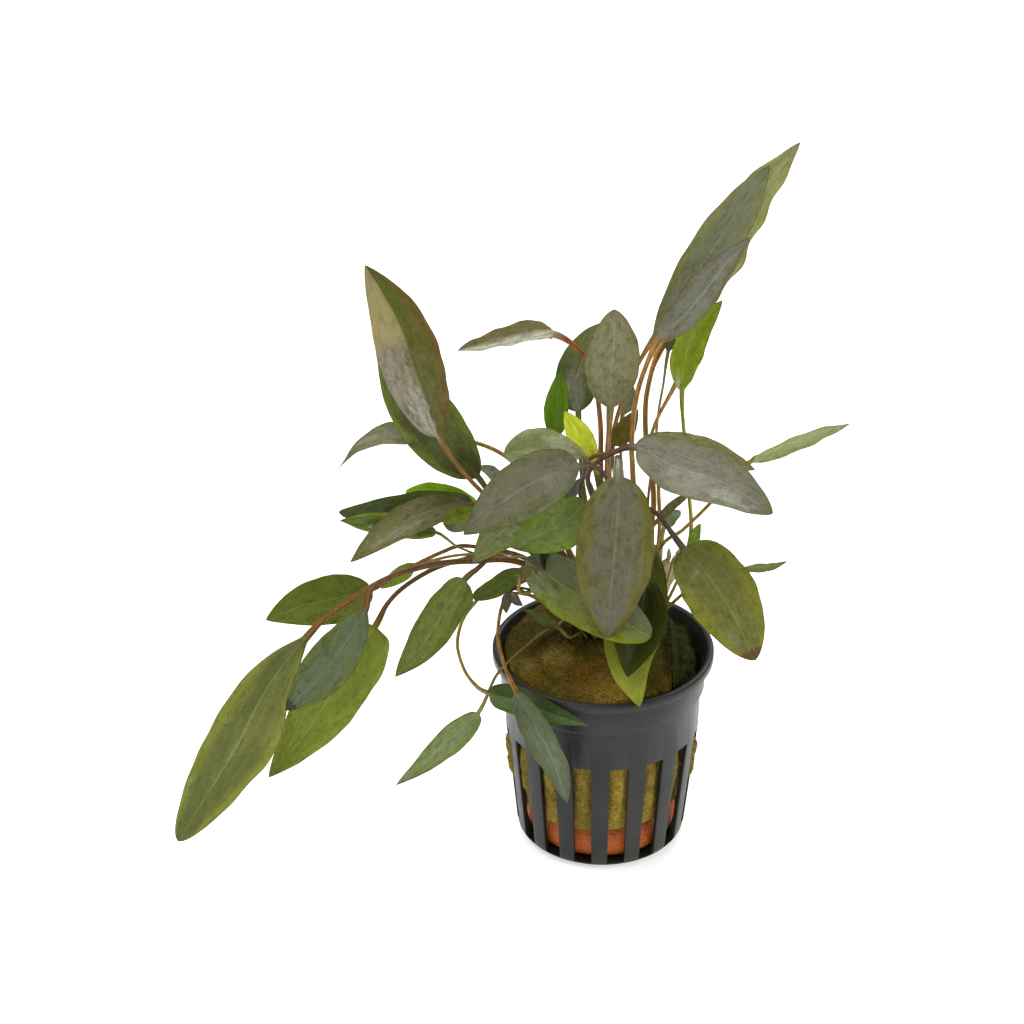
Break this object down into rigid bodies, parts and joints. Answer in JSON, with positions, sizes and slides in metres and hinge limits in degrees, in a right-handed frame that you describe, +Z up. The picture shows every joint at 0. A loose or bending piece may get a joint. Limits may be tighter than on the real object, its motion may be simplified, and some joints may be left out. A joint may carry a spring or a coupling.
{
  "type": "potted cryptocoryne",
  "caption": "Rosette aquarium plant with long pointed leaves on thin petioles, growing from a rockwool plug in a slotted round net pot.",
  "frame": {"origin": "centre of the pot's underside, on the surface it stands on", "axes": "+Z up along the pot's axis, -Y towards the viewer of the picture, +X to the viewer's right"},
  "size_m": [0.1652, 0.0793, 0.1703],
  "materials": {
    "pot_plastic": "satin moulded plastic",
    "fired_clay": "matte, damp",
    "rockwool": "fibrous, damp",
    "mossy_rockwool": "fibrous, mossy, damp",
    "mauve_leaf": "wet, glossy leaf",
    "bronze_leaf": "wet, glossy leaf",
    "grey_green_leaf": "wet, glossy leaf",
    "sage_leaf": "wet, glossy leaf",
    "olive_leaf": "wet, glossy leaf",
    "dark_leaf": "wet, glossy leaf",
    "vivid_leaf": "wet, glossy leaf",
    "lime_leaf": "wet, glossy leaf",
    "yellow_leaf": "wet, glossy leaf"
  },
  "bodies": {
    "root": {"pot": "pot_plastic", "clay_pellet": "fired_clay", "rockwool_plug": "rockwool", "rockwool_fold": "mossy_rockwool", "leaf_tall_back": "yellow_leaf", "leaf_big_right": "grey_green_leaf", "leaf_mauve_right": "mauve_leaf", "leaf_bright_right": "vivid_leaf", "leaf_behind_mauve": "olive_leaf", "leaf_behind_bright": "olive_leaf", "leaf_far_right": "sage_leaf", "leaf_narrow_right": "olive_leaf", "leaf_upright": "mauve_leaf", "leaf_dark_behind": "dark_leaf", "leaf_reaching_left": "grey_green_leaf", "leaf_vivid_upright": "vivid_leaf", "leaf_lime": "lime_leaf", "leaf_olive_small": "olive_leaf", "leaf_pale_small": "grey_green_leaf", "leaf_bronze": "bronze_leaf", "leaf_dark_left": "dark_leaf", "leaf_curled": "grey_green_leaf", "leaf_left_dark": "dark_leaf", "leaf_left_bright_edge": "sage_leaf", "leaf_left_drooping": "grey_green_leaf", "leaf_left_vivid": "vivid_leaf", "leaf_left_small": "vivid_leaf", "leaf_silver_right": "grey_green_leaf", "leaf_olive_right": "olive_leaf", "leaf_mottled_right": "olive_leaf", "leaf_front_big": "mauve_leaf", "leaf_front_left": "grey_green_leaf", "leaf_curved_over": "olive_leaf", "leaf_behind_middle": "sage_leaf", "leaf_before_middle": "sage_leaf", "leaf_over_plug": "sage_leaf", "leaf_olive_wisp": "olive_leaf", "leaf_right_bud": "sage_leaf", "leaf_right_sprout": "vivid_leaf", "leaf_low_outer": "sage_leaf", "leaf_low_yellow": "yellow_leaf", "leaf_low_blue": "grey_green_leaf", "leaf_low_dark": "dark_leaf", "leaf_low_small": "sage_leaf", "leaf_low_middle": "sage_leaf", "leaf_low_bright": "vivid_leaf", "leaf_rim_yellow": "yellow_leaf", "leaf_rim_dark": "dark_leaf", "leaf_pot_front": "sage_leaf", "leaf_pot_behind": "sage_leaf", "leaf_pot_left": "sage_leaf", "leaf_on_wool": "olive_leaf"}
  },
  "joints": []
}
